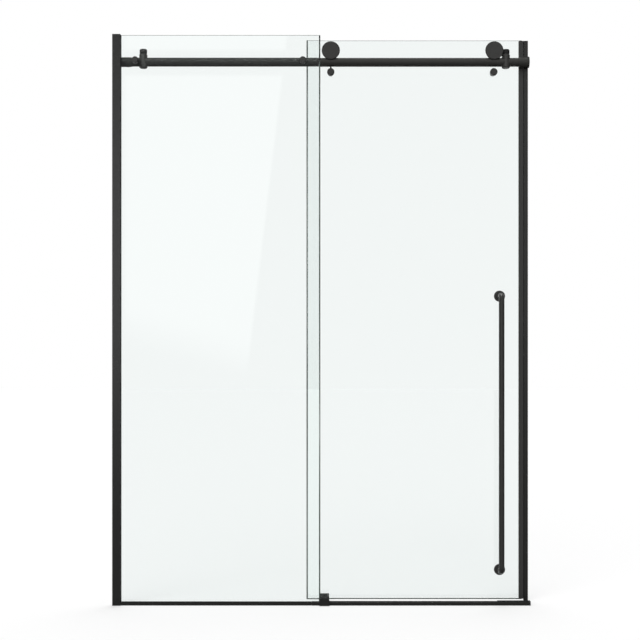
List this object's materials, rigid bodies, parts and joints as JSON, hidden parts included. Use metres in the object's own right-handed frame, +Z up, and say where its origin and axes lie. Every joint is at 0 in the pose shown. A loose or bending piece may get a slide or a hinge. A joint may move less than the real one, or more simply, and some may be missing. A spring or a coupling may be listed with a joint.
{
  "type": "sliding shower door",
  "caption": "Frameless alcove shower door: a glass panel hung on grooved wheels slides along a round rail behind a fixed panel, with a long pull handle, stops, floor guide and magnetic jamb.",
  "frame": {"origin": "on the floor, midway between the two walls, in the middle plane of the fixed glass (a point on the underside of the threshold)", "axes": "+X to the right along the opening, +Y from the room into the shower, +Z up"},
  "size_m": [1.4134, 0.0935, 1.93],
  "materials": {
    "black_aluminium": "satin black powder coat on extruded aluminium",
    "black_steel": "satin black coat on turned or drawn stainless steel",
    "clear_glass": "clear tempered glass with polished edges, faintly green",
    "black_rubber": "matte black rubber",
    "black_plastic": "fine-textured black moulded plastic",
    "black_nylon": "smooth black nylon",
    "clear_vinyl": "translucent vinyl or nylon",
    "bare_steel": "plain stainless steel",
    "magnet": "flexible magnetic strip in a black sheath"
  },
  "bodies": {
    "frame": {"wall_channel": "black_aluminium", "wall_channel_cap": "black_plastic", "wall_channel_gaskets": "black_rubber", "fixed_glass": "clear_glass", "bottom_channel": "black_aluminium", "setting_blocks": "black_rubber", "threshold": "black_aluminium", "threshold_end_strip": "black_rubber", "rail_tube": "black_steel", "rail_socket_left": "black_steel", "rail_socket_right": "black_steel", "rail_grub_screws": "bare_steel", "stop_left": "black_steel", "stop_right": "black_steel", "stop_bumper_left": "black_rubber", "stop_bumper_right": "black_rubber", "stop_grub_screws": "bare_steel", "connector_cap_left": "black_steel", "connector_cap_right": "black_steel", "connector_gaskets": "clear_vinyl", "connector_bushes": "clear_vinyl", "connector_standoff_left": "black_steel", "connector_standoff_right": "black_steel", "connector_bolts": "bare_steel", "jamb_right": "black_aluminium", "jamb_cap": "black_plastic", "jamb_magnet_strip": "magnet", "guide_body": "black_plastic", "guide_liner": "black_nylon", "guide_screws": "bare_steel"},
    "door": {"sliding_glass": "clear_glass", "closing_strip": "black_plastic", "door_magnet_strip": "magnet", "axle_bolts": "bare_steel", "axle_spacers": "black_steel", "hanger_bushes": "clear_vinyl", "wheel_back_caps": "black_steel", "bearing_inner_rings": "bare_steel", "anti_jump_left": "black_steel", "anti_jump_right": "black_steel", "anti_jump_button": "black_nylon", "anti_jump_bolts": "bare_steel", "anti_jump_back_caps": "black_steel", "handle_bar": "black_aluminium", "handle_flange_top": "black_steel", "handle_flange_bottom": "black_steel", "handle_bolts": "bare_steel", "handle_bushes": "clear_vinyl", "handle_inner_caps": "black_steel"},
    "wheel_left": {"wheel_tyre_left": "black_nylon", "bearing_outer_ring_left": "bare_steel", "wheel_cover_left": "black_steel"},
    "wheel_right": {"wheel_tyre_right": "black_nylon", "bearing_outer_ring_right": "bare_steel", "wheel_cover_right": "black_steel"}
  },
  "joints": [
    {"name": "door_slide", "type": "slide", "parent": "frame", "child": "door", "axis": [-1, 0, 0], "range_m": [0, 0.602]},
    {"name": "wheel_left_spin", "type": "hinge", "parent": "door", "child": "wheel_left", "pos_m": [0.03175, 0.032, 1.88], "axis": [0, 1, 0], "continuous": true},
    {"name": "wheel_right_spin", "type": "hinge", "parent": "door", "child": "wheel_right", "pos_m": [0.58725, 0.032, 1.88], "axis": [0, 1, 0], "continuous": true}
  ],
  "couplings": [
    {"joint": "wheel_left_spin", "follows": "door_slide", "rad_per_m": -44.643},
    {"joint": "wheel_right_spin", "follows": "door_slide", "rad_per_m": -44.643}
  ]
}
